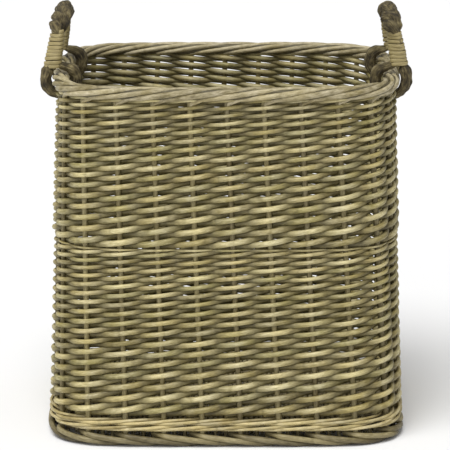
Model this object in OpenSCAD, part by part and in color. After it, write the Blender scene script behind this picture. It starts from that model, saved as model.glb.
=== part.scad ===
// Rectangular willow log basket: a stick-and-weave base, 32 upright stakes, a foot border,
// a band of waling, two bands of randed siding, a rolled rim border and two twisted vine handles
// that rock on the rim. Millimetres, +Z up, origin on the floor under the centre of the basket.
// The woven bands are plain closed shells with the true outer and inner faces of the weave, which grips the stakes.

/* [Basket] */
// Width over the weave at the rim
rim_w = 430; // [410:5:450]
// Depth over the weave at the rim
rim_d = 360; // [344:4:376]
// Width over the weave at the foot
foot_w = 452; // [430:1:470]
// Depth over the weave at the foot
foot_d = 368; // [352:2:384]
// Height of the rim above the floor
rim_h = 450; // [436:2:470]
// Squareness of the plan at the rim: 2 is an ellipse, 10 nearly a rectangle
rim_squareness = 4.5; // [4:0.5:6]
// Squareness of the plan at the foot
foot_squareness = 6; // [5:0.5:8]

/* [Weave] */
// Diameter of a stake
stake_d = 7; // [6:0.5:8]
// Number of stakes, a multiple of four so that a stake stands at the middle of each side
stakes = 32; // [28:4:36]
// How far each stake leans along the wall on its way up, as a share of the gap between stakes
stake_lean = 0.4; // [0:0.05:0.5]
// How much closer the stakes stand along the short sides than along the long ones
side_closeness = 1.15; // [1.1:0.01:1.2]
// Thickness of the woven wall
wall_t = 20; // [18:1:22]
// Height of the foot border
foot_h = 20; // [18:1:22]
// Height of the waling above the foot border
waling_h = 19; // [17:1:20]
// Height of the lower randed band
lower_rand_h = 211; // [200:1:220]
// Height of the rim border
border_h = 18; // [16:1:18]
// Thickness of the rim border, across the wall
border_t = 22.4; // [21.6:0.2:22.6]

/* [Base] */
// Diameter of a base stick
stick_d = 9; // [8:0.5:9]
// Number of base sticks
sticks = 9; // [7:2:9]
// Gap between the middles of neighbouring base sticks
stick_gap = 33; // [30:1:34]
// Thickness of the woven base
base_t = 16; // [14:1:16]
// Height of the middle of the base above the floor
base_z = 14; // [12:1:14]

/* [Handles] */
// Diameter of a vine strand
vine_d = 10; // [9.6:0.2:11]
// Radius of the loop that the vine makes round the rim border, to the middle of the strand
loop_r = 17.7; // [17.7:0.1:19]
// How far outside the middle of the wall the loop has its middle, or inside it where negative
loop_out = -0.7; // [-1:0.1:0]
// Distance from the loop's middle up to the middle of the grip
grip_h = 76; // [72:1:86]
// Height of the corner of the grip, where the legs turn into the arch
grip_corner_h = 18; // [17:1:20]
// Distance from the middle of the handle to each leg, along the rim
leg_y = 66; // [62:1:68]
// How far outside the loop's middle each leg stands where its strands come together
leg_out = 9.5; // [8:0.5:10]
// How far the legs lean in over the basket, in degrees
leg_lean = 10; // [4:1:10]
// How far the two strands turn round each other up each leg, in degrees
leg_twist = 50; // [0:10:90]
// Half turns that the two strands make round each other over the arch
arch_half_turns = 4; // [2:2:4]
// Thickness of the cane binding
cane_t = 1.2; // [1:0.1:1.6]
// Height of the binding's lower end above the loop's middle
binding_low = 28; // [28:1:33]
// Height of the binding's upper end above the loop's middle
binding_high = 54; // [50:1:54]

/* [Hidden] */
OUTLINE_POINTS = 96;
TABLE_STEP = 1;
STRAND_SIDES = 8;
BINDING_SIDES = 24;
VINE_FIT = 0.8;
STRAND_GAP = 0.15;
STICK_FIT = 0.15;

half_wall = wall_t / 2;
half_border = border_t / 2;
stake_r = stake_d / 2;
vine_r = vine_d / 2;
waling_z = foot_h;
lower_rand_z = waling_z + waling_h;
upper_rand_z = lower_rand_z + lower_rand_h;
border_z = rim_h - border_h;
axis_z = rim_h - border_h / 2;
strand_offset = vine_r + STRAND_GAP;
leg_top = grip_h - grip_corner_h;
pivot_x = rim_w / 2 - half_wall + loop_out;

// The middle line of the wall at the foot and at the rim: half width, half depth, squareness.
FOOT_PLAN = [foot_w / 2 - half_wall, foot_d / 2 - half_wall, foot_squareness];
RIM_PLAN = [rim_w / 2 - half_wall, rim_d / 2 - half_wall, rim_squareness];

function plan_at(plan, angle) =
    let (n = plan[2])
    let (x = pow(abs(cos(angle)) / plan[0], n), y = pow(abs(sin(angle)) / plan[1], n))
    [cos(angle), sin(angle)] / pow(x + y, 1 / n);

// Share of the stakes passed against polar angle, from the middle of the front anticlockwise.
function angle_table(plan) =
    let (angles = [for (a = [-90:TABLE_STEP:270]) a])
    let (points = [for (a = angles) plan_at(plan, a)])
    let (gaps = [for (i = [1:len(points) - 1]) points[i] - points[i - 1]])
    let (steps = [for (g = gaps) norm([g[0], side_closeness * g[1]])])
    let (runs = [for (i = 0, run = 0; i <= len(steps); run = run + (i < len(steps) ? steps[i] : 0), i = i + 1) run])
    let (total = runs[len(runs) - 1])
    [for (i = [0:len(runs) - 1]) [runs[i] / total, angles[i]]];

FOOT_TABLE = angle_table(FOOT_PLAN);
RIM_TABLE = angle_table(RIM_PLAN);

// A share of the way round the outline, brought into 0 to 1.
function wrapped(share) = share - floor(share);
function plan_point(plan, table, share) = plan_at(plan, lookup(wrapped(share), table));

// The wall's middle line at a share of the way round and a height.
function wall_point(share, z) =
    let (up = z / rim_h)
    let (low = plan_point(FOOT_PLAN, FOOT_TABLE, share + stake_lean / stakes))
    let (high = plan_point(RIM_PLAN, RIM_TABLE, share))
    low * (1 - up) + high * up;

// A level outline of the wall at height z, moved outwards by off.
function wall_loop(z, off) = [
    for (k = [0:OUTLINE_POINTS - 1])
        let (p = wall_point(k / OUTLINE_POINTS, z))
        let (along = wall_point((k + 0.5) / OUTLINE_POINTS, z) - wall_point((k - 0.5) / OUTLINE_POINTS, z))
        let (t = along / norm(along))
        [p[0] + off * t[1], p[1] - off * t[0], z]
];

function flat(points) = [for (p = points) [p[0], p[1]]];
function joined(lists) = [for (l = lists) each l];

// The two triangles that close the gap between neighbouring points of two loops of n points.
function band(low, high, n) = [
    for (k = [0:n - 1])
        let (next = (k + 1) % n)
        each [[low + k, high + k, high + next], [low + k, high + next, low + next]]
];

// A tube with a thick wall, from loops of points that go anticlockwise and are listed from bottom to top.
module hollow_loft(outer, inner) {
    n = len(outer[0]);
    levels = len(outer);
    inside = levels * n;
    faces = joined([
        for (j = [0:levels - 2]) band(j * n, (j + 1) * n, n),
        for (j = [0:levels - 2]) band(inside + (j + 1) * n, inside + j * n, n),
        band((levels - 1) * n, inside + (levels - 1) * n, n),
        band(inside, 0, n)
    ]);
    polyhedron(points = concat(joined(outer), joined(inner)), faces = faces, convexity = 6);
}

// A closed ring of round section whose middle runs through the points, turned to face away from a centre.
module closed_strand(path, radius, centre) {
    n = len(path);
    rings = [
        for (i = [0:n - 1])
            let (ahead = path[(i + 1) % n] - path[(i + n - 1) % n])
            let (t = ahead / norm(ahead))
            let (away = path[i] - centre)
            let (side = away - (away * t) * t)
            let (u = side / norm(side))
            let (v = cross(t, u))
            [for (k = [0:STRAND_SIDES - 1])
                let (a = 360 * k / STRAND_SIDES)
                path[i] + radius * (cos(a) * u + sin(a) * v)]
    ];
    faces = joined([
        for (i = [0:n - 1]) band(i * STRAND_SIDES, ((i + 1) % n) * STRAND_SIDES, STRAND_SIDES)
    ]);
    polyhedron(points = joined(rings), faces = faces, convexity = 10);
}

module rod(from, to, radius) {
    along = to - from;
    translate(from)
        rotate([0, acos(along[2] / norm(along)), atan2(along[1], along[0])])
            cylinder(h = norm(along), r = radius, $fn = 32);
}

// ---- Base ----

function stick_y(i) = (i - (sticks - 1) / 2) * stick_gap;

// Half the length of the base stick at distance y from the middle, inside the foot border.
function stick_half(y) =
    let (a = FOOT_PLAN[0] - half_wall - 2, b = FOOT_PLAN[1] - half_wall, n = FOOT_PLAN[2])
    a * pow(1 - pow(abs(y) / b, n), 1 / n);

module base_stick(i) {
    y = stick_y(i);
    color("tan")
        rod([-stick_half(y), y, base_z], [stick_half(y), y, base_z], stick_d / 2);
}

module base_weave() {
    color("darkkhaki")
        difference() {
            translate([0, 0, base_z - base_t / 2])
                linear_extrude(height = base_t)
                    polygon(flat(wall_loop(base_z, -half_wall - 1)));
            for (i = [0:sticks - 1])
                rod([-foot_w, stick_y(i), base_z], [foot_w, stick_y(i), base_z], stick_d / 2 + STICK_FIT);
        }
}

// ---- Wall ----

function stake_point(i, z) = let (p = wall_point(i / stakes, z)) [p[0], p[1], z];

module stake(i) {
    color("darkkhaki")
        rod(stake_point(i, foot_h / 2), stake_point(i, border_z - 0.5), stake_r);
}

module foot_border() {
    color("khaki")
        linear_extrude(height = foot_h)
            difference() {
                polygon(flat(wall_loop(0, half_wall)));
                polygon(flat(wall_loop(0, -half_wall)));
            }
}

module woven_band(low, high) {
    hollow_loft(
        [wall_loop(low, half_wall), wall_loop(high, half_wall)],
        [wall_loop(low, -half_wall), wall_loop(high, -half_wall)]
    );
}

module waling() {
    color("khaki") woven_band(waling_z, lower_rand_z);
}

module lower_rand() {
    color("darkkhaki") woven_band(lower_rand_z, upper_rand_z);
}

// The upper band has a hole under the rim border for each vine loop.
module upper_rand() {
    color("darkkhaki")
        difference() {
            woven_band(upper_rand_z, border_z);
            for (turn = [0, 180])
                rotate([0, 0, turn])
                    for (end = [-1, 1])
                        translate([pivot_x, end * leg_y, axis_z])
                            rotate([90, 0, 0])
                                rotate_extrude($fn = 48)
                                    translate([loop_r, 0])
                                        circle(r = vine_r + VINE_FIT, $fn = 32);
        }
}

module rim_border() {
    shoulder = border_h / 4;
    round_off = 4;
    levels = [
        [border_z, half_border - round_off],
        [border_z + shoulder, half_border],
        [rim_h - shoulder, half_border],
        [rim_h, half_border - round_off]
    ];
    color("khaki")
        hollow_loft([for (l = levels) wall_loop(l[0], l[1])], [for (l = levels) wall_loop(l[0], -l[1])]);
}

// ---- Handles ----
// A handle is drawn round its own pivot, the middle of the loops that its vine makes round the rim border:
// x points out of the basket, y along the rim and z up.

crotch_z = 28;
BINDING_GAP = 0.7;
OUTER_END = 100;
INNER_END = 135;
LOOP_STEPS = 10;
FORK_STEPS = 6;
LEG_STEPS = 4;
ARCH_STEPS = 36;
ARCH_SQUARENESS = 2.5;

function leg_x(z) = leg_out - (z - crotch_z) * tan(leg_lean);

// A point on the loop, by its angle from straight down towards the outside.
function on_loop(a) = [loop_r * sin(a), -loop_r * cos(a)];

// The way from the loop at angle a up to where the strands lie side by side, as x and z.
function fork(side, a, t) =
    let (from = on_loop(a), to = [leg_x(crotch_z) + side * strand_offset, crotch_z])
    let (reach = norm(to - from))
    let (leave = side * [cos(a), sin(a)] * reach, arrive = [-sin(leg_lean), cos(leg_lean)] * reach)
    from * (1 + 2 * t) * pow(1 - t, 2) + leave * t * pow(1 - t, 2)
        + to * t * t * (3 - 2 * t) - arrive * t * t * (1 - t);

// One side of a foot, from straight below the pivot up to the fork's top: 1 is outside the rim and -1 inside.
function foot_path(side) =
    let (last = side > 0 ? OUTER_END : -INNER_END)
    concat(
        [for (k = [0:LOOP_STEPS]) on_loop(last * k / LOOP_STEPS)],
        [for (k = [1:FORK_STEPS]) fork(side, last, k / FORK_STEPS)]
    );

// The middle of the arch at a share of the way from the front leg to the back one, as y and z, and its outward side.
function arch_point(share) =
    let (a = 180 * share, n = 2 / ARCH_SQUARENESS)
    let (c = cos(a), s = max(sin(a), 0))
    [-leg_y * sign(c) * pow(abs(c), n), leg_top + grip_corner_h * pow(s, n)];
function arch_side(share) =
    let (d = arch_point(min(share + 0.01, 1)) - arch_point(max(share - 0.01, 0)))
    [-d[1], d[0]] / norm(d);

// A strand's place beside the middle line of the handle, at the turn a: at 0 the two strands lie across the rim.
function strand_point(strand, middle, side, a) =
    let (off = strand * strand_offset)
    let (along = middle + off * sin(a) * side)
    [leg_x(middle[1]) + off * cos(a), along[0], along[1]];

function leg_z(k) = crotch_z + (leg_top - crotch_z) * k / LEG_STEPS;
function leg_turn(k) = leg_twist * k / LEG_STEPS;
last_turn = 180 * (arch_half_turns + 1);

// One strand of the vine from foot to foot, front to back. Strand 1 starts outside the rim and ends inside it, and
// strand -1 the other way round.
function strand(s) =
    let (up = foot_path(s), down = foot_path(-s))
    concat(
        [for (k = [1:len(up) - 1]) [up[k][0], -leg_y, up[k][1]]],
        [for (k = [1:LEG_STEPS - 1]) strand_point(s, [-leg_y, leg_z(k)], [-1, 0], leg_turn(k))],
        [for (k = [0:ARCH_STEPS])
            let (share = k / ARCH_STEPS)
            strand_point(s, arch_point(share), arch_side(share), leg_twist + (last_turn - 2 * leg_twist) * share)],
        [for (k = [LEG_STEPS - 1:-1:1]) strand_point(s, [leg_y, leg_z(k)], [1, 0], last_turn - leg_turn(k))],
        [for (k = [len(down) - 1:-1:1]) [down[k][0], leg_y, down[k][1]]]
    );

// Puts a handle on an end of the basket: end 1 is the right one and -1 the left one.
module at_end(end) {
    rotate([0, 0, end > 0 ? 0 : 180])
        translate([pivot_x, 0, axis_z])
            children();
}

module vine(end) {
    one = strand(1);
    other = strand(-1);
    back_again = [for (k = [len(other) - 1:-1:0]) other[k]];
    path = concat([[0, -leg_y, -loop_r]], one, [[0, leg_y, -loop_r]], back_again);
    color([0.28, 0.24, 0.17])
        at_end(end)
            closed_strand(path, vine_r, [0, 0, grip_h / 2]);
}

// A level section of a leg's binding: two half circles round the strands, joined by straight sides.
function binding_loop(z, r) =
    let (turn = leg_twist * (z - crotch_z) / (leg_top - crotch_z))
    let (row = [cos(turn), -sin(turn)], across = [sin(turn), cos(turn)])
    [for (k = [0:BINDING_SIDES - 1])
        let (a = 360 * (k + 0.5) / BINDING_SIDES)
        let (p = (r * cos(a) + sign(cos(a)) * strand_offset) * row + r * sin(a) * across)
        [leg_x(z) + p[0], p[1], z]];

module binding(end, leg) {
    heights = [for (k = [0:LEG_STEPS]) binding_low + k * (binding_high - binding_low) / LEG_STEPS];
    inside = vine_r + BINDING_GAP;
    color([0.85, 0.78, 0.6])
        at_end(end)
            translate([0, leg * leg_y, 0])
                hollow_loft(
                    [for (z = heights) binding_loop(z, inside + cane_t)],
                    [for (z = heights) binding_loop(z, inside)]
                );
}

// ---- The basket ----

function numbered(name, count) = [for (i = [1:count]) str(name, "_", i < 10 ? "0" : "", i)];
STICK_NODES = numbered("base_stick", sticks);
STAKE_NODES = numbered("stake", stakes);

for (i = [0:sticks - 1]) base_stick(i);
for (i = [0:stakes - 1]) stake(i);
base_weave();
foot_border();
waling();
lower_rand();
upper_rand();
rim_border();
vine(1);  // right_vine
binding(1, -1);  // right_binding_front
binding(1, 1);  // right_binding_back
vine(-1);  // left_vine
binding(-1, 1);  // left_binding_front
binding(-1, -1);  // left_binding_back
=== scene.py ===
import bisect
import math
import random

import bpy
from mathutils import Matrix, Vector


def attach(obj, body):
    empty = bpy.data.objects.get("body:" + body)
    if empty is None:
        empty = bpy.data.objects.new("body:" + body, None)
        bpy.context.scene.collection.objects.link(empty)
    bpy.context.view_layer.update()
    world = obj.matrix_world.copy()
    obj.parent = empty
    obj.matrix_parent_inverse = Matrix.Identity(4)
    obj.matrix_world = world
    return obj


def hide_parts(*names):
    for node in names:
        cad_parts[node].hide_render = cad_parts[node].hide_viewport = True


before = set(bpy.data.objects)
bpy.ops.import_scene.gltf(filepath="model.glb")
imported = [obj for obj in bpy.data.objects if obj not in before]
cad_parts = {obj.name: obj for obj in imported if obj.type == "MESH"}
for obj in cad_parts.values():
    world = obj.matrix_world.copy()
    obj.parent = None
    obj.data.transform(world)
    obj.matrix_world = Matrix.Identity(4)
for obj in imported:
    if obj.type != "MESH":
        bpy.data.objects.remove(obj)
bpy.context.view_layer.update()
studio = bpy.context.scene

# ---- Bottom sticks ----
# Nine stout willow sticks lie side by side along the bottom and carry the floor's weave. They are cut from the
# thick ends of the rods and their own ends are pushed in behind the foot border.
MM = 0.001
STICKS = 9
STICK_GAP = 33.0
STICK_RADIUS = 4.3
BOTTOM_Z = 14.0
FOOT_PLAN = (216.0, 174.0, 6.0)
HALF_WALL = 5.5
STICK_INSET = 2
STICK_STEPS = 12
ROUND_SIDES = 8


def add(tree, kind, sockets=(), **settings):
    """A new node, with another node's output or a plain value for each of the sockets that is named."""
    new = tree.nodes.new(kind)
    for name, value in settings.items():
        setattr(new, name, value)
    for name, value in dict(sockets).items():
        if isinstance(value, bpy.types.NodeSocket):
            tree.links.new(value, new.inputs[name])
        else:
            new.inputs[name].default_value = value
    return new


def math_node(tree, operation, *values):
    return add(tree, "ShaderNodeMath", enumerate(values), operation=operation).outputs[0]


def new_group(name, kind, inputs, outputs):
    """An empty node group. inputs holds each socket's name, type and value, outputs its name and type."""
    tree = bpy.data.node_groups.new(name, kind)
    for label, socket, value in inputs:
        made = tree.interface.new_socket(label, in_out="INPUT", socket_type=socket)
        if value is not None:
            made.default_value = value
    for label, socket in outputs:
        tree.interface.new_socket(label, in_out="OUTPUT", socket_type=socket)
    return tree, tree.nodes.new("NodeGroupInput").outputs, tree.nodes.new("NodeGroupOutput").inputs


def rod_tree():
    """Turns bare lines into rods. A line's points give the radius, and the grain runs round and along it."""
    tree, given, result = new_group(
        "Rods from lines", "GeometryNodeTree",
        [("Lines", "NodeSocketGeometry", None), ("Sides", "NodeSocketInt", ROUND_SIDES),
         ("Flat Strip", "NodeSocketBool", False), ("Flatness", "NodeSocketFloat", 1.0),
         ("Ridges", "NodeSocketFloat", 0.0), ("Ridge Depth", "NodeSocketFloat", 0.0),
         ("Lumps", "NodeSocketFloat", 0.0), ("Lump Size", "NodeSocketFloat", 0.02),
         ("Seed", "NodeSocketFloat", 1.0), ("Material", "NodeSocketMaterial", None)],
        [("Rods", "NodeSocketGeometry")])

    def named(name, kind="FLOAT"):
        return add(tree, "GeometryNodeInputNamedAttribute", {"Name": name}, data_type=kind).outputs["Attribute"]

    curve = add(tree, "GeometryNodeMeshToCurve", {"Mesh": given["Lines"]}).outputs[0]
    turned = {"Curve": curve, "Selection": given["Flat Strip"], "Normal": named("face", "FLOAT_VECTOR")}
    curve = add(tree, "GeometryNodeSetCurveNormal", turned, mode="FREE").outputs[0]
    round_section = {"Resolution": given["Sides"], "Radius": 1.0}
    circle = add(tree, "GeometryNodeCurvePrimitiveCircle", round_section).outputs[0]
    spot = add(tree, "GeometryNodeInputPosition").outputs[0]
    circle = add(tree, "GeometryNodeStoreNamedAttribute", {"Geometry": circle, "Name": "round", "Value": spot},
                 data_type="FLOAT_VECTOR").outputs[0]
    parts = add(tree, "ShaderNodeSeparateXYZ", {0: spot}).outputs
    turn = math_node(tree, "MULTIPLY", math_node(tree, "ARCTAN2", parts[1], parts[0]), given["Ridges"])
    ridge = math_node(tree, "MULTIPLY_ADD", math_node(tree, "SINE", turn), given["Ridge Depth"], 1.0)
    squeeze = add(tree, "ShaderNodeCombineXYZ", {0: given["Flatness"], 1: 1.0, 2: 1.0}).outputs[0]
    shape = add(tree, "ShaderNodeVectorMath", {0: spot, 1: squeeze}, operation="MULTIPLY").outputs[0]
    shape = add(tree, "ShaderNodeVectorMath", {0: shape, "Scale": ridge}, operation="SCALE").outputs[0]
    circle = add(tree, "GeometryNodeSetPosition", {"Geometry": circle, "Position": shape}).outputs[0]
    rods = add(tree, "GeometryNodeCurveToMesh", {"Curve": curve, "Profile Curve": circle,
                                                "Scale": named("thick"), "Fill Caps": True}).outputs[0]
    across = add(tree, "ShaderNodeSeparateXYZ", {0: named("round", "FLOAT_VECTOR")}).outputs
    grain = add(tree, "ShaderNodeCombineXYZ", {0: across[0], 1: across[1], 2: named("along")}).outputs[0]
    rods = add(tree, "GeometryNodeStoreNamedAttribute", {"Geometry": rods, "Name": "grain", "Value": grain},
               data_type="FLOAT_VECTOR").outputs[0]
    scale = math_node(tree, "DIVIDE", 1.0, given["Lump Size"])
    bumps = add(tree, "ShaderNodeTexNoise", {"Vector": spot, "Scale": scale, "W": given["Seed"], "Detail": 1.0},
                noise_dimensions="4D").outputs["Fac"]
    height = math_node(tree, "MULTIPLY", math_node(tree, "SUBTRACT", bumps, 0.5), given["Lumps"])
    normal = add(tree, "GeometryNodeInputNormal").outputs[0]
    push = add(tree, "ShaderNodeVectorMath", {0: normal, "Scale": height}, operation="SCALE").outputs[0]
    rods = add(tree, "GeometryNodeSetPosition", {"Geometry": rods, "Offset": push}).outputs[0]
    corners = add(tree, "GeometryNodeInputMeshFaceNeighbors").outputs["Vertex Count"]
    sides = math_node(tree, "LESS_THAN", corners, 4.5)
    rods = add(tree, "GeometryNodeSetShadeSmooth", {"Geometry": rods, "Shade Smooth": sides}).outputs[0]
    rods = add(tree, "GeometryNodeRealizeInstances", {"Geometry": rods}).outputs[0]
    rods = add(tree, "GeometryNodeSetMaterial", {"Geometry": rods, "Material": given["Material"]}).outputs[0]
    tree.links.new(rods, result["Rods"])
    return tree


RODS = rod_tree()


def draw_lines(name, rods):
    """The middle line of each rod, as loose edges. A rod is its tone, from 0 to 1, and a list of its points:
    where and how thick, in millimetres, then how much painted shade it gets in the weave, from 0 to 1, and
    whether it runs inside the wall, -1, or outside it, 1, or else which way a flat strip's face looks."""
    places, edges, thick, tone, along, face, deep, side = [], [], [], [], [], [], [], []
    for shade, path in rods:
        run = 0.0
        for k, (place, radius, *more) in enumerate(path):
            if k:
                run += (place - path[k - 1][0]).length
                edges.append((len(places) - 1, len(places)))
            places.append(place * MM)
            thick.append(radius * MM)
            tone.append(shade)
            along.append(run * MM)
            deep.append(more[0] if more and isinstance(more[0], float) else 0.0)
            side.append(more[1] if len(more) > 1 else 0.0)
            face.extend(more[0] if more and isinstance(more[0], tuple) else (0.0, 0.0, 1.0))
    mesh = bpy.data.meshes.new(name)
    mesh.from_pydata(places, edges, [])
    for label, values in (("thick", thick), ("tone", tone), ("along", along), ("deep", deep),
                          ("side", side)):
        mesh.attributes.new(label, "FLOAT", "POINT").data.foreach_set("value", values)
    mesh.attributes.new("face", "FLOAT_VECTOR", "POINT").data.foreach_set("vector", face)
    piece = bpy.data.objects.new(name, mesh)
    studio.collection.objects.link(piece)
    return piece


def make_rods(name, rods, material, body, slot, nodes, **sizes):
    """Grows rods along their lines as a plain mesh, puts the piece under its body and hides the CAD parts of its
    nodes. The slot is not used.
    """
    piece = draw_lines(name, rods)
    growth = piece.modifiers.new("Rods", "NODES")
    growth.node_group = RODS
    sockets = {s.name: s.identifier for s in RODS.interface.items_tree if s.in_out == "INPUT"}
    for label, value in {"Sides": ROUND_SIDES, "Material": material, **sizes}.items():
        growth[sockets[label.replace("_", " ")]] = value
    ready = bpy.context.evaluated_depsgraph_get()
    mesh = bpy.data.meshes.new_from_object(piece.evaluated_get(ready), preserve_all_data_layers=True,
                                           depsgraph=ready)
    piece.modifiers.clear()
    piece.data = mesh
    mesh.name = name
    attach(piece, body)
    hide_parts(*nodes)
    return piece


STREAK_STRETCH = (1.0, 1.0, 55.0)
RING_DARKNESS = 0.22
INNER_SHADE = 0.42
# What the colour is multiplied by where a rod is darkest, from its streaks, specks and bud rings and from painted
# shade.
DARK_GRAIN_AND_SHADE_HUE = (0.95, 0.88, 0.58)


def willow_group():
    """The skin of a dry willow rod: fine streaks along it, pale worn patches, bud rings and dark specks, and painted
    shade where the rod lies in the weave or turns its face into the wall.
    """
    tree, given, result = new_group(
        "Willow skin", "ShaderNodeTree",
        [("Colour", "NodeSocketColor", (0.3, 0.25, 0.14, 1.0)),
         ("Wash Colour", "NodeSocketColor", (0.5, 0.46, 0.34, 1.0)), ("Wash", "NodeSocketFloat", 0.5),
         ("Streaks", "NodeSocketFloat", 0.5), ("Bud Gap", "NodeSocketFloat", 0.09),
         ("Painted Shade", "NodeSocketFloat", 0.72), ("Dullness", "NodeSocketFloat", 0.6)],
        [("Colour", "NodeSocketColor"), ("Roughness", "NodeSocketFloat"), ("Relief", "NodeSocketFloat")])

    def read(name, output):
        return add(tree, "ShaderNodeAttribute", attribute_name=name).outputs[output]

    grain = read("grain", "Vector")
    tone = read("tone", "Fac")
    here = add(tree, "ShaderNodeTexCoord").outputs["Object"]
    shifted = add(tree, "ShaderNodeVectorMath", {0: grain, 1: STREAK_STRETCH}, operation="MULTIPLY").outputs[0]
    offset = math_node(tree, "MULTIPLY", tone, 43.0)
    streak = add(tree, "ShaderNodeTexNoise", {"Vector": shifted, "W": offset, "Scale": 2.6, "Detail": 4.0,
                                              "Roughness": 0.62}, noise_dimensions="4D").outputs["Fac"]
    patch = add(tree, "ShaderNodeTexNoise", {"Vector": here, "W": offset, "Scale": 38.0, "Detail": 3.0},
                noise_dimensions="4D").outputs["Fac"]
    fleck = add(tree, "ShaderNodeTexNoise", {"Vector": here, "Scale": 900.0, "Detail": 2.0}).outputs["Fac"]

    # Bud rings: a narrow dark band at every bud gap along the rod.
    along = add(tree, "ShaderNodeSeparateXYZ", {0: grain}).outputs[2]
    beat = math_node(tree, "DIVIDE", along, given["Bud Gap"])
    beat = math_node(tree, "ADD", beat, math_node(tree, "MULTIPLY_ADD", patch, 0.6, offset))
    gap = math_node(tree, "PINGPONG", beat, 0.5)
    ring = add(tree, "ShaderNodeMapRange", {"Value": gap, "From Min": 0.0, "From Max": 0.055, "To Min": 1.0,
                                            "To Max": 0.0}, interpolation_type="SMOOTHSTEP").outputs[0]

    worn = math_node(tree, "ADD", patch, math_node(tree, "MULTIPLY", streak, 0.5))
    wash = add(tree, "ShaderNodeMapRange", {"Value": worn, "From Min": 0.62, "From Max": 0.95}).outputs[0]
    wash = math_node(tree, "MULTIPLY", wash, given["Wash"])
    colours = {0: wash, 6: given["Colour"], 7: given["Wash Colour"]}
    colour = add(tree, "ShaderNodeMix", colours, data_type="RGBA").outputs[2]
    depth = add(tree, "ShaderNodeMapRange", {"Value": streak, "From Min": 0.3, "From Max": 0.7, "To Min": 0.0,
                                             "To Max": 1.0}).outputs[0]
    lines = math_node(tree, "MULTIPLY_ADD", math_node(tree, "SUBTRACT", depth, 0.5), given["Streaks"], 1.0)
    specks = add(tree, "ShaderNodeMapRange", {"Value": fleck, "From Min": 0.62, "From Max": 0.72, "To Min": 1.0,
                                              "To Max": 0.72}).outputs[0]
    shade = math_node(tree, "MULTIPLY", lines, specks)
    shade = math_node(tree, "MULTIPLY", shade, math_node(tree, "MULTIPLY_ADD", ring, -RING_DARKNESS, 1.0))
    # Painted shade: the colour is darkened by the rod's share of shade, where it passes under other rods, stands
    # back between them or fills the border's core.
    painted_shade = math_node(tree, "MULTIPLY", read("deep", "Fac"), given["Painted Shade"])
    shade = math_node(tree, "MULTIPLY", shade, math_node(tree, "SUBTRACT", 1.0, painted_shade))

    # Painted shade: a rod's face that is turned into the wall, towards the rods on the other side, is darkened.
    flat = add(tree, "ShaderNodeVectorMath", {0: here, 1: (1.0, 1.0, 0.0)}, operation="MULTIPLY").outputs[0]
    outwards = add(tree, "ShaderNodeVectorMath", {0: flat}, operation="NORMALIZE").outputs[0]
    normal = add(tree, "ShaderNodeNewGeometry").outputs["Normal"]
    facing = add(tree, "ShaderNodeVectorMath", {0: normal, 1: outwards}, operation="DOT_PRODUCT")
    out_of_wall = math_node(tree, "MULTIPLY", facing.outputs["Value"], read("side", "Fac"))
    turned = add(tree, "ShaderNodeMapRange", {"Value": out_of_wall, "From Min": 0.1, "From Max": -0.6,
                                              "To Min": 1.0, "To Max": INNER_SHADE}).outputs[0]
    shade = math_node(tree, "MULTIPLY", shade, turned)
    colour = add(tree, "ShaderNodeVectorMath", {0: colour, "Scale": shade}, operation="SCALE").outputs[0]
    grain_and_shade_hue = add(tree, "ShaderNodeVectorMath", {0: colour, 1: DARK_GRAIN_AND_SHADE_HUE}, operation="MULTIPLY").outputs[0]
    colour = add(tree, "ShaderNodeMix", {0: shade, 6: grain_and_shade_hue, 7: colour}, data_type="RGBA").outputs[2]
    tree.links.new(colour, result["Colour"])
    tree.links.new(math_node(tree, "MULTIPLY_ADD", wash, 0.12, given["Dullness"]), result["Roughness"])
    relief = math_node(tree, "MULTIPLY_ADD", ring, 0.5, math_node(tree, "MULTIPLY", streak, 0.55))
    tree.links.new(relief, result["Relief"])
    return tree


WILLOW = willow_group()


def new_material(name, roughness=0.6):
    material = bpy.data.materials.new(name)
    material.use_nodes = True
    tree = material.node_tree
    shader = tree.nodes["Principled BSDF"]
    shader.inputs["Roughness"].default_value = roughness
    return material, tree, shader


def willow(name, colours, wash=0.5, wash_colour=(0.50, 0.46, 0.32), streaks=0.75, bud_gap=0.09, dullness=0.55):
    """Dry willow. colours are the hues that the rods are sorted from, each with the tone where it starts."""
    material, tree, shader = new_material(name)
    tone = add(tree, "ShaderNodeAttribute", attribute_name="tone").outputs["Fac"]
    ramp = add(tree, "ShaderNodeValToRGB", {"Fac": tone})
    for k, (start, colour) in enumerate(colours):
        stop = ramp.color_ramp.elements[k] if k < 2 else ramp.color_ramp.elements.new(start)
        stop.position, stop.color = start, (*colour, 1.0)
    skin = add(tree, "ShaderNodeGroup", node_tree=WILLOW)
    for label, value in (("Wash", wash), ("Streaks", streaks), ("Bud Gap", bud_gap), ("Dullness", dullness),
                         ("Wash Colour", (*wash_colour, 1.0))):
        skin.inputs[label].default_value = value
    tree.links.new(ramp.outputs["Color"], skin.inputs["Colour"])
    bump = add(tree, "ShaderNodeBump", {"Height": skin.outputs["Relief"], "Strength": 0.5, "Distance": 0.0006})
    tree.links.new(skin.outputs["Colour"], shader.inputs["Base Color"])
    tree.links.new(skin.outputs["Roughness"], shader.inputs["Roughness"])
    tree.links.new(bump.outputs[0], shader.inputs["Normal"])
    return material


STICK_WILLOW = willow("stick willow", [(0.0, (0.20, 0.15, 0.063)), (1.0, (0.33, 0.27, 0.139))], wash=0.3)
sorting = random.Random(11)


def stick_y(i):
    return (i - (STICKS - 1) / 2) * STICK_GAP


def stick_half(y):
    """Half the length of the stick that lies y from the middle."""
    a, b, n = FOOT_PLAN[0] - HALF_WALL - STICK_INSET, FOOT_PLAN[1] - HALF_WALL, FOOT_PLAN[2]
    return a * (1 - (abs(y) / b) ** n) ** (1 / n)


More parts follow.
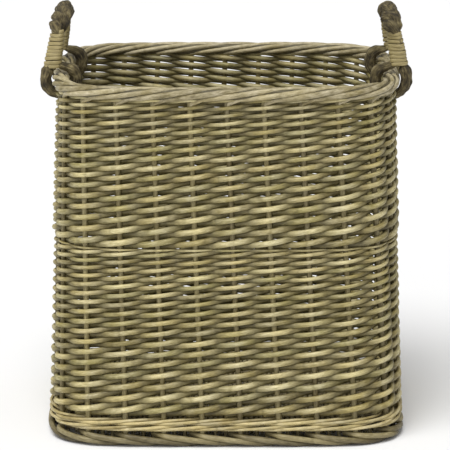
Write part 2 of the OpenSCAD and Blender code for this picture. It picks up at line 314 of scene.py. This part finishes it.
def stick(i):
    y = stick_y(i)
    half = stick_half(y)
    return [(Vector((-half + 2 * half * k / STICK_STEPS, y, BOTTOM_Z)), STICK_RADIUS)
            for k in range(STICK_STEPS + 1)]


make_rods("bottom_sticks", [(sorting.random(), stick(i)) for i in range(STICKS)], STICK_WILLOW, "basket",
          "willow_base", [f"base_stick_{i + 1:02d}" for i in range(STICKS)], Sides=12, Lumps=0.0007,
          Lump_Size=0.03)

# ---- Bottom weave ----
# Thin willow rods are woven across the sticks, over one and under the next, and beaten close. They fill the
# bottom from end to end and stop inside the foot border.
WEAVER_GAP = 6.4
WEAVER_RADIUS = 2.7
WEAVER_STEPS = 8
LAST_WEAVER_GAP = 3
SIDE_CLOSENESS = 1.15
STAKES = 32
STAKE_LEAN = 0.4
RIM_H = 450.0
RIM_PLAN = (205.0, 170.0, 4.5)


def plan_at(plan, angle):
    """Where the outline crosses a direction, in degrees from the right end."""
    a, b, n = plan
    c, s = math.cos(math.radians(angle)), math.sin(math.radians(angle))
    reach = ((abs(c) / a) ** n + (abs(s) / b) ** n) ** (-1 / n)
    return Vector((c * reach, s * reach))


def plan_shares(plan):
    """How far round the outline, from 0 to 1, each whole degree from the middle of the front lies."""
    walked = [0.0]
    for degree in range(-90, 270):
        step = plan_at(plan, degree + 1) - plan_at(plan, degree)
        walked.append(walked[-1] + math.hypot(step.x, SIDE_CLOSENESS * step.y))
    return [w / walked[-1] for w in walked]


FOOT_SHARES = plan_shares(FOOT_PLAN)
RIM_SHARES = plan_shares(RIM_PLAN)


def plan_point(plan, shares, share):
    share %= 1.0
    k = min(bisect.bisect_right(shares, share) - 1, len(shares) - 2)
    part = (share - shares[k]) / (shares[k + 1] - shares[k])
    return plan_at(plan, k - 90 + part)


def wall(u, z, out=0.0):
    """A point of the wall: u stake gaps round from the middle of the front, z up, and out from the stakes."""
    def middle(u):
        low = plan_point(FOOT_PLAN, FOOT_SHARES, (u + STAKE_LEAN) / STAKES)
        high = plan_point(RIM_PLAN, RIM_SHARES, u / STAKES)
        return low.lerp(high, z / RIM_H)
    along = (middle(u + 0.1) - middle(u - 0.1)).normalized()
    place = middle(u) + out * Vector((along.y, -along.x))
    return Vector((place.x, place.y, z))


def weaver(i, x):
    """One rod of the bottom's weave, across all the sticks at x."""
    a, b, n = FOOT_PLAN[0] - HALF_WALL, FOOT_PLAN[1] - HALF_WALL, FOOT_PLAN[2]
    half = b * (1 - min(abs(x) / a, 1.0) ** n) ** (1 / n)
    count = int(2 * half / STICK_GAP * WEAVER_STEPS)
    path = []
    for k in range(count + 1):
        y = -half + 2 * half * k / count
        lift = (STICK_RADIUS + WEAVER_RADIUS) * math.cos(math.pi * (y / STICK_GAP + i))
        path.append((Vector((x, y, BOTTOM_Z + lift)), WEAVER_RADIUS))
    return path


BOTTOM_HUES = [(0.0, (0.19, 0.15, 0.063)), (0.5, (0.30, 0.25, 0.126)), (1.0, (0.40, 0.34, 0.176))]
BOTTOM_WILLOW = willow("bottom willow", BOTTOM_HUES, wash=0.35)
weavers = int(FOOT_PLAN[0] - HALF_WALL - LAST_WEAVER_GAP) // WEAVER_GAP
across = [(int(i + weavers), i * WEAVER_GAP) for i in range(-int(weavers), int(weavers) + 1)]
make_rods("bottom_weave", [(sorting.random(), weaver(i, x)) for i, x in across], BOTTOM_WILLOW, "basket",
          "willow_base", ["base_weave"], Sides=6, Lumps=0.0006, Lump_Size=0.02)

# ---- Stakes ----
# Thirty-two upright willow stakes hold the wall. Each is pushed into the bottom beside a stick, bent up, and leans
# a little along the wall on its way to the rim, where its tip is laid down into the border.
STAKE_RADIUS = 3.5
STAKE_LOW = 10.0
STAKE_HIGH = 431.5
STAKE_PIECES = 24
# Painted shade laid on every stake from end to end, as it stands back between the rods of the wall.
STAKE_SHADE = 0.45
STAKE_BUTT = 1.03
STAKE_TAPER = 0.06


def stake(i):
    path = []
    for k in range(STAKE_PIECES + 1):
        share = k / STAKE_PIECES
        place = wall(i, STAKE_LOW + (STAKE_HIGH - STAKE_LOW) * share)
        path.append((place, STAKE_RADIUS * (STAKE_BUTT - STAKE_TAPER * share), STAKE_SHADE))
    return path


# The stakes' hues are darkened as painted shade, on top of the willow's own colour.
STAKE_HUES = [(0.0, (0.179, 0.137, 0.048)), (0.5, (0.284, 0.231, 0.096)), (1.0, (0.399, 0.336, 0.156))]
STAKE_WILLOW = willow("stake willow", STAKE_HUES, wash=0.4)
make_rods("stakes", [(sorting.random(), stake(i)) for i in range(STAKES)], STAKE_WILLOW, "basket", "willow_stake",
          [f"stake_{i + 1:02d}" for i in range(STAKES)], Lumps=0.0008, Lump_Size=0.05)

# ---- Foot border ----
# The thick ends of the stakes' rods are turned down below the waling and tucked behind the next stakes, one after
# another, and so make the plaited foot that the basket stands on.
FOOT_RADIUS = 3.5
FOOT_BUTT = 1.04
FOOT_TAPER = 0.05
FOOT_STEPS = 5
FOOT_LOWEST = 3.7
FOOT_DROP = 0.5
# How far along the wall in stake gaps, out from the stakes' line, and up.
FOOT_WAY = ((-0.3, -6.0, 14.0), (-0.1, 0.5, 13.4), (0.1, 5.4, 12.5), (0.5, 6.4, 10.3), (1.0, 6.3, 7.2),
            (1.5, 4.0, 4.6), (1.9, -1.0, 3.8), (2.4, -6.0, 3.8))


def eased(points, steps):
    """Points on a smooth way through the given ones, with steps between each two."""
    made = []
    for k in range(len(points) - 1):
        p = [points[min(max(k + j, 0), len(points) - 1)] for j in (-1, 0, 1, 2)]
        for s in range(steps + (k == len(points) - 2)):
            t = s / steps
            made.append(tuple(
                0.5 * (2 * b + (c - a) * t + (2 * a - 5 * b + 4 * c - d) * t * t
                       + (3 * b - a - 3 * c + d) * t ** 3)
                for a, b, c, d in zip(*p)))
    return made


def foot_shade(u):
    """How deep in shade a foot rod is, where it comes out of the wall and where it goes under the next ones."""
    return max(0.0, -u * 3, u - 0.9) * 0.9


def foot_rod(i):
    path = eased(FOOT_WAY, FOOT_STEPS)
    drop = sorting.uniform(-FOOT_DROP, FOOT_DROP)
    return [(wall(i + u, max(z + drop, FOOT_LOWEST), out), FOOT_RADIUS * (FOOT_BUTT - FOOT_TAPER * u),
             foot_shade(u)) for u, out, z in path]


# The foot's hues are darkened as painted shade among its strands, on top of the willow's own colour.
FOOT_HUES = [(0.0, (0.105, 0.082, 0.030)), (0.5, (0.200, 0.162, 0.070)), (1.0, (0.300, 0.250, 0.118))]
FOOT_WILLOW = willow("foot willow", FOOT_HUES, wash=0.35, wash_colour=(0.42, 0.37, 0.22))
make_rods("foot_border", [(sorting.random(), foot_rod(i)) for i in range(STAKES)], FOOT_WILLOW, "basket",
          "willow_border", ["foot_border"], Sides=10, Lumps=0.0008, Lump_Size=0.03)

# ---- Waling ----
# A band of rods worked three at a time just above the foot. Each rod passes in front of two stakes and behind one,
# which locks the stakes at their spacing before the wall is filled in.
WALE_LOW = 18.5
WALE_LIFT = 2.4
WALE_RADIUS = 2.0
WALE_TOP = 33.5
WALE_STEPS = 8
# Where along the wall, in stake gaps, a rod passes in front of a stake or behind one, and how many lifts up it is.
WALE_FRONT = {1: 0.75, 2: 2.25, 4: 3.75, 5: 5.25}
WALE_BACK = {0: -0.2, 3: 3.0, 6: 6.0}


def wale(i):
    reach = STAKE_RADIUS + WALE_RADIUS
    ways = [(float(u), reach, WALE_LOW + WALE_LIFT * lift) for u, lift in WALE_FRONT.items()]
    ways += [(float(u), -reach, WALE_LOW + WALE_LIFT * lift) for u, lift in WALE_BACK.items()]
    path = [(u, out, min(max(z + WALE_RADIUS, WALE_LOW + WALE_RADIUS), WALE_TOP))
            for u, out, z in eased(sorted(ways), WALE_STEPS)]
    size = sorting.uniform(0.93, 1.05)
    return [(wall(i + u, z, out), WALE_RADIUS * size * (1.05 - 0.02 * u)) for u, out, z in path]


WALE_HUES = [(0.0, (0.285, 0.218, 0.078)), (0.5, (0.467, 0.376, 0.154)), (1.0, (0.623, 0.511, 0.245))]
WALE_WILLOW = willow("waling willow", WALE_HUES)
make_rods("waling", [(sorting.random(), wale(i)) for i in range(STAKES)], WALE_WILLOW, "basket", "willow_weave",
          ["waling"], Lumps=0.0006, Lump_Size=0.03)

# ---- Lower and upper rand ----
# The wall is filled with French randing, in two blocks. One rod starts behind each stake and goes in front of one
# and behind the next all the way up its block, so all the rods climb to the right together, from thick to thin.
RAND_LOW = 36.0
RAND_TURN = 250.0
RAND_HIGH = 436.0
RAND_LAP = 2.5
# How many times faster a rod climbs at its thick end than at its tip.
RAND_TAPER = 1.67
# A rod's radius as a share of its rise at each stake, outside the wall, and how much more it is inside.
RAND_FILL = 0.47
RAND_BACK = 0.18
RAND_HUG = 0.74
RAND_STEPS = 8
# In stake gaps, how far before its first stake a rod starts, and how much longer it is than the stakes it passes.
RAND_LEAD = 0.4
RAND_EXTRA = 2.1
TIP_TAPER = 0.35
# How much of its radius a rod keeps inside the edges of its block.
EDGE_SHARE = 0.9
RAND_LOOSE = 0.5
RAND_SWAY = 0.35


def loose(count, most):
    """A small way off the line at each stake that a rod passes, which changes smoothly between them."""
    steps = [sorting.uniform(-most, most) for _ in range(count + 3)]

    def off(u):
        k = int(math.floor(u)) + 1
        part = (1 - math.cos(math.pi * (u + 1 - k))) / 2
        return steps[k] * (1 - part) + steps[k + 1] * part
    return off


def rand_rod(i, low, high, stakes_passed):
    """One rod of a block from low to high, which starts behind stake i and passes the given count of stakes."""
    mean = (high - low) / (stakes_passed + RAND_FILL * 2)
    first = 2 * mean * RAND_TAPER / (1 + RAND_TAPER)
    fall = (first - 2 * mean / (1 + RAND_TAPER)) / stakes_passed
    size = sorting.uniform(0.95, 1.06)
    lift, sway = loose(stakes_passed + 3, RAND_LOOSE), loose(stakes_passed + 3, RAND_SWAY)
    path = []
    for k in range(int((stakes_passed + RAND_EXTRA) * RAND_STEPS) + 1):
        u = k / RAND_STEPS - RAND_LEAD
        rise = first - fall * max(u, 0)
        front = (1 - math.cos(math.pi * u)) / 2
        tip = 1 - TIP_TAPER * max(u - stakes_passed, 0.0)
        radius = (RAND_FILL + RAND_BACK * (1 - front)) * rise * tip
        z = low + RAND_FILL * first + first * u - fall * u * abs(u) / 2
        z = min(max(z + lift(u), low + radius * EDGE_SHARE), high - radius * EDGE_SHARE)
        out = -RAND_HUG * (STAKE_RADIUS + radius) * math.cos(math.pi * u) + sway(u)
        # Painted shade: darkest where the rod crosses through the wall between two stakes, and a little more where
        # it runs behind a stake.
        crossing_shade = (1 - abs(2 * front - 1) ** 0.9) * 0.9 + (1 - front) * 0.1
        path.append((wall(i + u, z, out), radius * size, crossing_shade, -math.cos(math.pi * u)))
    return path


RAND_HUES = [(0.0, (0.215, 0.175, 0.054)), (0.22, (0.367, 0.299, 0.109)), (0.5, (0.316, 0.274, 0.095)),
             (0.75, (0.468, 0.385, 0.163)), (1.0, (0.570, 0.497, 0.246))]
RAND_WILLOW = willow("rand willow", RAND_HUES)
BLOCKS = (("lower_rand", RAND_LOW, RAND_TURN, 34), ("upper_rand", RAND_TURN - RAND_LAP, RAND_HIGH, 31))
for name, low, high, stakes_passed in BLOCKS:
    rods = [(sorting.random(), rand_rod(i, low, high, stakes_passed)) for i in range(STAKES)]
    make_rods(name, rods, RAND_WILLOW, "basket", "willow_weave", [name], Lumps=0.0007, Lump_Size=0.025)

# ---- Rim border ----
# The tips of the stakes are bent down to the right one after another and rolled over the rim, out, over the top and
# down inside, so that they lie together like the strands of a rope.
RIM_Z = 441.0
RIM_OUT = 7.9
RIM_UP = 5.9
RIM_RADIUS = 3.2
# How far out and how high each rod of the border's core runs.
RIM_CORES = ((-4.0, 438.5), (4.0, 438.5), (-3.5, 443.5), (3.5, 443.5))
CORE_RADIUS = 4.0
CORE_TONE = 0.3
RIM_START = -65.0
RIM_TURN = 64.0
RIM_REACH = 4.7
RIM_STEPS = 10
RIM_BEND = 0.35


def rim_rod(i):
    path = [(wall(i, RIM_Z - 17, 0.0), STAKE_RADIUS * 0.95),
            (wall(i + 0.06, RIM_Z - 11.5, 0.8), STAKE_RADIUS * 0.9)]
    size, swing, puff = sorting.uniform(0.92, 1.08), sorting.uniform(-5, 5), loose(8, 0.55)
    for k in range(int(RIM_REACH * RIM_STEPS) + 1):
        u = RIM_BEND + k / RIM_STEPS
        turn = math.radians(RIM_START + swing + RIM_TURN * (u - RIM_BEND))
        radius = RIM_RADIUS * size * (1.08 - 0.05 * u)
        out, up = (RIM_OUT + puff(u)) * math.cos(turn), (RIM_UP + puff(u) * 0.6) * math.sin(turn)
        path.append((wall(i + u, RIM_Z + up, out), radius))
    return path


def rim_core(out, z):
    """A rod that runs the whole way round inside the border and fills it."""
    # Painted shade: the core gets the full share of shade, as it lies hidden inside the border.
    return [(wall(k / 4, z, out), CORE_RADIUS, 1.0) for k in range(4 * STAKES + 1)]


RIM_HUES = [(0.0, (0.210, 0.168, 0.064)), (0.4, (0.305, 0.252, 0.119)), (0.7, (0.382, 0.318, 0.161)),
            (1.0, (0.477, 0.412, 0.236))]
RIM_WILLOW = willow("rim willow", RIM_HUES, wash=0.6, wash_colour=(0.553, 0.496, 0.364))
rim_rods = [(sorting.random(), rim_rod(i)) for i in range(STAKES)]
rim_rods += [(CORE_TONE, rim_core(*core)) for core in RIM_CORES]
make_rods("rim_border", rim_rods, RIM_WILLOW, "basket", "willow_border", ["rim_border"], Sides=10, Lumps=0.0006,
          Lump_Size=0.02)

# ---- Vine handles ----
# Each handle is one long piece of woody vine with its bark left on. It goes round the rim border at both feet, where
# it can rock, and its two halves are twisted round each other over the grip.
PIVOT = Vector((204.3, 0.0, 441.0))
VINE_RADIUS = 7.1
WALL_SQUEEZE = 1.4
BOUND_RADIUS = 4.2
GRIP_RADIUS = 6.7
LOOP_RADIUS = 19.2
STRAND_OFFSET = 5.15
LEG_Y = 66.0
LEG_OUT = 9.5
LEG_LEAN = math.radians(10.0)
LEG_TWIST = 50.0
LEG_TOP = 58.0
CROTCH_Z = 23.0
CORNER_H = 14.6
ARCH_POWER = 2 / 2.5
ARCH_HALF_TURNS = 4
LOOP_ENDS = {1: 100.0, -1: 125.0}
LOOP_STEPS, FORK_STEPS, LEG_STEPS, ARCH_STEPS = 24, 18, 12, 96


def leg_x(z):
    return LEG_OUT - (z - CROTCH_Z) * math.tan(LEG_LEAN)


def on_loop(turn):
    return Vector((LOOP_RADIUS * math.sin(math.radians(turn)), -LOOP_RADIUS * math.cos(math.radians(turn))))


def fork(side, t):
    """The way from the loop to where the two halves lie side by side, as x and z. Side 1 is outside the rim."""
    turn = side * LOOP_ENDS[side]
    start, end = on_loop(turn), Vector((leg_x(CROTCH_Z) + side * STRAND_OFFSET, CROTCH_Z))
    reach = (end - start).length
    leave = side * reach * Vector((math.cos(math.radians(turn)), math.sin(math.radians(turn))))
    arrive = reach * Vector((-math.sin(LEG_LEAN), math.cos(LEG_LEAN)))
    return (start * (1 + 2 * t) * (1 - t) ** 2 + leave * t * (1 - t) ** 2 + end * t * t * (3 - 2 * t)
            - arrive * t * t * (1 - t))


def foot_path(side):
    loop = [on_loop(side * LOOP_ENDS[side] * k / LOOP_STEPS) for k in range(1, LOOP_STEPS + 1)]
    return loop + [fork(side, k / FORK_STEPS) for k in range(1, FORK_STEPS + 1)]


def arch_point(share):
    """The middle of the grip at a share of the way from its front leg to its back one, as y and z."""
    c, s = math.cos(math.pi * share), max(math.sin(math.pi * share), 0.0)
    return Vector((-math.copysign(LEG_Y * abs(c) ** ARCH_POWER, c), LEG_TOP + CORNER_H * s ** ARCH_POWER))


def arch_side(share):
    d = arch_point(min(share + 0.01, 1.0)) - arch_point(max(share - 0.01, 0.0))
    return Vector((-d.y, d.x)).normalized()


def strand_point(half, middle, side, turn):
    along = middle + side * (half * STRAND_OFFSET * math.sin(math.radians(turn)))
    return Vector((leg_x(middle.y) + half * STRAND_OFFSET * math.cos(math.radians(turn)), along.x, along.y))


def strand(half):
    """One half of the vine from its front foot to its back one. Half 1 starts outside the rim, ends inside."""
    up = [Vector((p.x, -LEG_Y, p.y)) for p in foot_path(half)]
    down = [Vector((p.x, LEG_Y, p.y)) for p in reversed(foot_path(-half))]
    last = 180 * (ARCH_HALF_TURNS + 1)

    def leg(y, k):
        middle = Vector((y, CROTCH_Z + (LEG_TOP - CROTCH_Z) * k / LEG_STEPS))
        turn = LEG_TWIST * k / LEG_STEPS
        return strand_point(half, middle, Vector((-1, 0)), turn) if y < 0 else strand_point(
            half, middle, Vector((1, 0)), last - turn)

    def arch(k):
        share = k / ARCH_STEPS
        turn = LEG_TWIST + (last - 2 * LEG_TWIST) * share
        return strand_point(half, arch_point(share), arch_side(share), turn)
    return (up + [leg(-LEG_Y, k) for k in range(1, LEG_STEPS)] + [arch(k) for k in range(ARCH_STEPS + 1)]
            + [leg(LEG_Y, k) for k in range(LEG_STEPS - 1, 0, -1)] + down)


def at_end(end, place):
    """A handle's point put in its place on the basket. End 1 is the right one and -1 the left one."""
    moved = place + PIVOT
    return Vector((moved.x * end, moved.y * end, moved.z))


def vine_radius(place):
    """Stout round the rim, thinner between the stakes and inside the binding."""
    between = min(max((-place.z - 4) / 10, 0.0), 1.0)
    bound = min(max((place.z - 12) / 6, 0.0), 1.0)
    grip = min(max((place.z - 60) / 6, 0.0), 1.0)
    return (VINE_RADIUS - WALL_SQUEEZE * between + (BOUND_RADIUS - VINE_RADIUS) * bound
            + (GRIP_RADIUS - BOUND_RADIUS) * grip)


def vine(end):
    """The vine's line, with thicker places at the knots that it grew every few centimetres."""
    line = [Vector((0, -LEG_Y, -LOOP_RADIUS)), *strand(1)]
    line += [Vector((0, LEG_Y, -LOOP_RADIUS)), *reversed(strand(-1))]
    line.append(line[0])
    run, knot, path = 0.0, sorting.uniform(15, 40), []
    for k, place in enumerate(line):
        run += (place - line[k - 1]).length if k else 0.0
        if run > knot + 14:
            knot += sorting.uniform(25, 45)
        swell = 1 + 0.10 * math.exp(-((run - knot) / 4.5) ** 2)
        path.append((at_end(end, place), vine_radius(place) * swell))
    return path


def bark():
    """Dark, fibrous bark that has split and worn pale along its ridges."""
    material, tree, shader = new_material("vine bark", 0.85)
    grain = add(tree, "ShaderNodeAttribute", attribute_name="grain").outputs["Vector"]
    here = add(tree, "ShaderNodeTexCoord").outputs["Object"]
    drawn = add(tree, "ShaderNodeVectorMath", {0: grain, 1: (1.0, 1.0, 28.0)}, operation="MULTIPLY").outputs[0]
    fibre = add(tree, "ShaderNodeTexNoise", {"Vector": drawn, "Scale": 4.2, "Detail": 6.0,
                                             "Roughness": 0.68}).outputs["Fac"]
    patch = add(tree, "ShaderNodeTexNoise", {"Vector": here, "Scale": 70.0, "Detail": 4.0}).outputs["Fac"]
    worn = math_node(tree, "MULTIPLY_ADD", patch, 0.55, math_node(tree, "MULTIPLY", fibre, 0.6))
    ramp = add(tree, "ShaderNodeValToRGB", {"Fac": worn})
    stops = ((0.42, (0.010, 0.007, 0.003)), (0.53, (0.050, 0.037, 0.014)), (0.61, (0.130, 0.101, 0.042)),
             (0.73, (0.290, 0.240, 0.115)))
    for k, (start, colour) in enumerate(stops):
        stop = ramp.color_ramp.elements[k] if k < 2 else ramp.color_ramp.elements.new(start)
        stop.position, stop.color = start, (*colour, 1.0)
    bump = add(tree, "ShaderNodeBump", {"Height": worn, "Strength": 1.0, "Distance": 0.004})
    tree.links.new(ramp.outputs["Color"], shader.inputs["Base Color"])
    tree.links.new(bump.outputs[0], shader.inputs["Normal"])
    return material


BARK = bark()
ENDS = ((1, "right"), (-1, "left"))
for end, side in ENDS:
    make_rods(f"{side}_vine", [(sorting.random(), vine(end))], BARK, f"{side}_handle", "vine", [f"{side}_vine"],
              Sides=24, Ridges=5.0, Ridge_Depth=0.08, Lumps=0.0042, Lump_Size=0.011)

# ---- Cane binding ----
# A long strip of split cane is wound round each leg of the handle, turn against turn, from the fork up to the start
# of the grip. It keeps the two halves of the vine from coming apart.
CANE_LOW = 16.0
CANE_HIGH = 61.0
CANE_GAP = 5.1
CANE_WIDTH = 4.7
CANE_THICKNESS = 1.3
CANE_STEPS = 36
CANE_LIFT = 0.4
CANE_SLACK = 0.45
CANE_DRIFT = 0.7


def cane(end, leg):
    turns = (CANE_HIGH - CANE_LOW) / CANE_WIDTH
    slack, drift = loose(int(turns) + 1, CANE_SLACK), loose(int(turns) + 1, CANE_DRIFT)
    path = []
    for k in range(int(turns * CANE_STEPS) + 1):
        share = k / (turns * CANE_STEPS)
        z = CANE_LOW + (CANE_HIGH - CANE_LOW) * share
        a = 2 * math.pi * k / CANE_STEPS
        swing = math.radians(LEG_TWIST * max(z - CROTCH_Z, 0.0) / (LEG_TOP - CROTCH_Z))
        row = Vector((math.cos(swing), -math.sin(swing), 0))
        side = Vector((math.sin(swing), math.cos(swing), 0))
        away = math.cos(a) * row + math.sin(a) * side
        reach = BOUND_RADIUS + CANE_THICKNESS / 2 + CANE_LIFT + slack(k / CANE_STEPS)
        flat = CANE_GAP * math.tanh(3.0 * math.cos(a))
        place = Vector((leg_x(z), leg * LEG_Y, z + drift(k / CANE_STEPS))) + reach * away + flat * row
        path.append((at_end(end, place), CANE_WIDTH / 2 * 0.98, (away.x * end, away.y * end, 0.0)))
    return path


def cane_material():
    material, tree, shader = new_material("split cane", 0.45)
    grain = add(tree, "ShaderNodeAttribute", attribute_name="grain").outputs["Vector"]
    drawn = add(tree, "ShaderNodeVectorMath", {0: grain, 1: (1.0, 1.0, 20.0)}, operation="MULTIPLY").outputs[0]
    fibre = add(tree, "ShaderNodeTexNoise", {"Vector": drawn, "Scale": 5.0, "Detail": 4.0}).outputs["Fac"]
    ramp = add(tree, "ShaderNodeValToRGB", {"Fac": fibre})
    hues = ((0.3, (0.18, 0.135, 0.050)), (0.72, (0.45, 0.375, 0.172)))
    for stop, (start, colour) in zip(ramp.color_ramp.elements, hues):
        stop.position, stop.color = start, (*colour, 1.0)
    bump = add(tree, "ShaderNodeBump", {"Height": fibre, "Strength": 0.4, "Distance": 0.0005})
    tree.links.new(ramp.outputs["Color"], shader.inputs["Base Color"])
    tree.links.new(bump.outputs[0], shader.inputs["Normal"])
    return material


CANE = cane_material()
for end, side in ENDS:
    for leg, place in ((-1, "front"), (1, "back")):
        name = f"{side}_binding_{place}"
        make_rods(name, [(sorting.random(), cane(end, leg * end))], CANE, f"{side}_handle", "cane", [name],
                  Sides=12, Flat_Strip=True, Flatness=CANE_THICKNESS / CANE_WIDTH)

# ---- Room ----
# A plain pale floor under a soft overhead light, with a wide weak light from the front left to lift the shadows.
FLOOR_HALF = 30.0
ROOM_GLOW = 0.45

floor_mesh = bpy.data.meshes.new("floor")
floor_corners = [(x * FLOOR_HALF, y * FLOOR_HALF, 0.0) for x, y in ((-1, -1), (1, -1), (1, 1), (-1, 1))]
floor_mesh.from_pydata(floor_corners, [], [(0, 1, 2, 3)])
floor = bpy.data.objects.new("floor", floor_mesh)
studio.collection.objects.link(floor)
floor_paper, _, paper = new_material("floor paper", 0.9)
paper.inputs["Base Color"].default_value = (0.86, 0.86, 0.86, 1.0)
floor_mesh.materials.append(floor_paper)

sky = bpy.data.worlds.new("studio")
sky.use_nodes = True
glow = sky.node_tree.nodes["Background"].inputs
glow["Color"].default_value = (1.0, 1.0, 1.0, 1.0)
# The backdrop itself looks white, and lights the room with less than that.
seen = add(sky.node_tree, "ShaderNodeLightPath").outputs["Is Camera Ray"]
strength = math_node(sky.node_tree, "MULTIPLY_ADD", seen, 1 - ROOM_GLOW, ROOM_GLOW)
sky.node_tree.links.new(strength, glow["Strength"])
studio.world = sky


def lamp(name, kind, place, power, spread):
    """A lamp at place that shines on the basket. Spread is a panel's width in metres, the sun's in degrees."""
    light = bpy.data.lights.new(name, kind)
    light.energy = power
    if kind == "SUN":
        light.angle = math.radians(spread)
    else:
        light.size = spread
    made = bpy.data.objects.new(name, light)
    made.location = place
    made.rotation_euler = (Vector((0.0, 0.0, 0.25)) - Vector(place)).to_track_quat("-Z", "Y").to_euler()
    studio.collection.objects.link(made)


lamp("key light", "SUN", (-0.5, -1.1, 2.7), 2.6, 40.0)
lamp("front light", "AREA", (-1.4, -2.8, 1.2), 14.0, 1.6)

camera = bpy.data.cameras.new("camera")
camera.lens = 207.4
camera.sensor_width = 36.0
camera.clip_end = 100.0
view = bpy.data.objects.new("camera", camera)
view.location = (-0.0012, -3.237, 0.998)
view.rotation_euler = (math.radians(90 - 13.18), 0.0, 0.0)
studio.collection.objects.link(view)
studio.camera = view
studio.view_settings.view_transform = "Standard"
